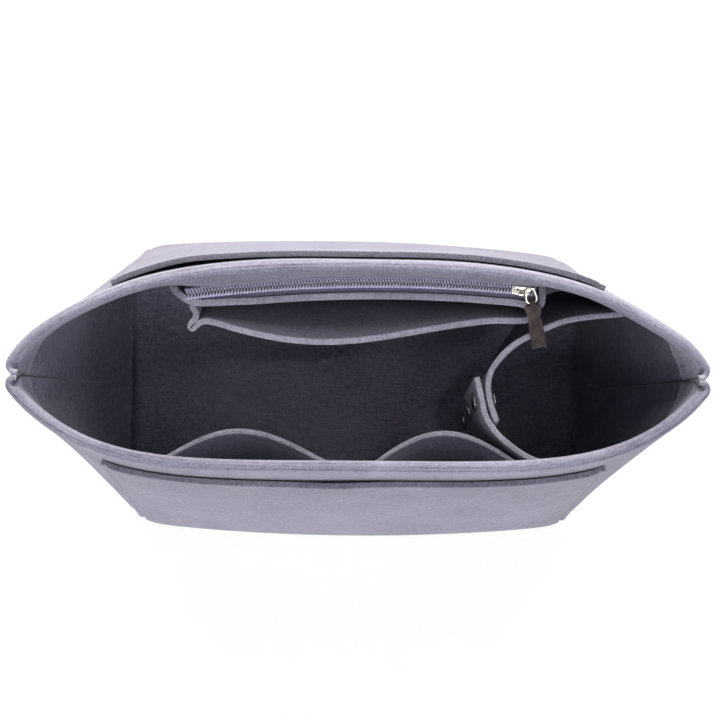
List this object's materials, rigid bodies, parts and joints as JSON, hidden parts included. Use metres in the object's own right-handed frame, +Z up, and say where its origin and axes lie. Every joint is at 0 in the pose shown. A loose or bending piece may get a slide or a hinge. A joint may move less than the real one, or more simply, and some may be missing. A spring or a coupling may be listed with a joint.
{
  "type": "purse organizer insert",
  "caption": "Open felt organizer that stands inside a handbag, with outer and inner slip pockets, a zip pocket and a snap-closed bottle holder",
  "frame": {"origin": "Middle of the underside of the base panel", "axes": "+X along the length towards the bottle holder, +Y towards the zip pocket at the back, +Z up"},
  "size_m": [0.3634, 0.1637, 0.16],
  "materials": {
    "felt": "matte pressed wool felt, fine fibres",
    "zip_tape": "woven polyester tape",
    "zip_coil": "satin nylon coil",
    "pale_metal": "bright pale plated metal",
    "leather": "soft satin leather"
  },
  "bodies": {
    "felt_body": {"base_panel": "felt", "front_panel": "felt", "back_panel": "felt", "front_rim_facing": "felt", "back_rim_facing": "felt", "front_outer_pocket": "felt", "back_outer_pocket": "felt", "zip_tape_back": "zip_tape", "zip_tape_front": "zip_tape", "zip_coil_back": "zip_coil", "zip_coil_front": "zip_coil", "zip_pocket_panel": "felt", "back_slip_pocket": "felt", "front_slip_pocket_left": "felt", "front_slip_pocket_right": "felt", "front_flap_root": "felt", "back_flap_root": "felt"},
    "zip_slider": {"slider_body": "pale_metal", "slider_bail": "pale_metal"},
    "ring": {"pull_ring": "pale_metal"},
    "pull": {"leather_pull": "leather"},
    "front_flap": {"front_flap_end": "felt", "front_snap_cap_top": "pale_metal", "front_snap_socket_top": "pale_metal", "front_snap_cap_middle": "pale_metal", "front_snap_socket_middle": "pale_metal", "front_snap_cap_lower": "pale_metal", "front_snap_socket_lower": "pale_metal"},
    "back_flap": {"back_flap_end": "felt", "back_snap_stud_top": "pale_metal", "back_snap_cap_top": "pale_metal", "back_snap_stud_middle": "pale_metal", "back_snap_cap_middle": "pale_metal", "back_snap_stud_lower": "pale_metal", "back_snap_cap_lower": "pale_metal"}
  },
  "joints": [
    {"name": "zip_travel", "type": "hinge", "parent": "felt_body", "child": "zip_slider", "pos_m": [0.01401, -0.69993, 0.138], "axis": [0, 0, 1], "range_deg": [0, 12.7]},
    {"name": "ring_swing", "type": "hinge", "parent": "zip_slider", "child": "ring", "pos_m": [0.08758, 0.04192, 0.1429], "axis": [-0.9832, -0.1827, 0], "range_deg": [0, 70]},
    {"name": "pull_swing", "type": "hinge", "parent": "ring", "child": "pull", "pos_m": [0.0889, 0.03481, 0.14136], "axis": [-0.9832, -0.1827, 0], "range_deg": [0, 45]},
    {"name": "front_flap_swing", "type": "hinge", "parent": "felt_body", "child": "front_flap", "pos_m": [0.06026, -0.03183, 0.08725], "axis": [0.0786, 0.1328, 0.988], "range_deg": [0, 70], "stiffness_Nm_per_rad": 0.03},
    {"name": "back_flap_swing", "type": "hinge", "parent": "felt_body", "child": "back_flap", "pos_m": [0.06538, -0.00588, 0.08725], "axis": [0.0786, 0.1328, 0.988], "range_deg": [0, 60], "stiffness_Nm_per_rad": 0.03}
  ]
}
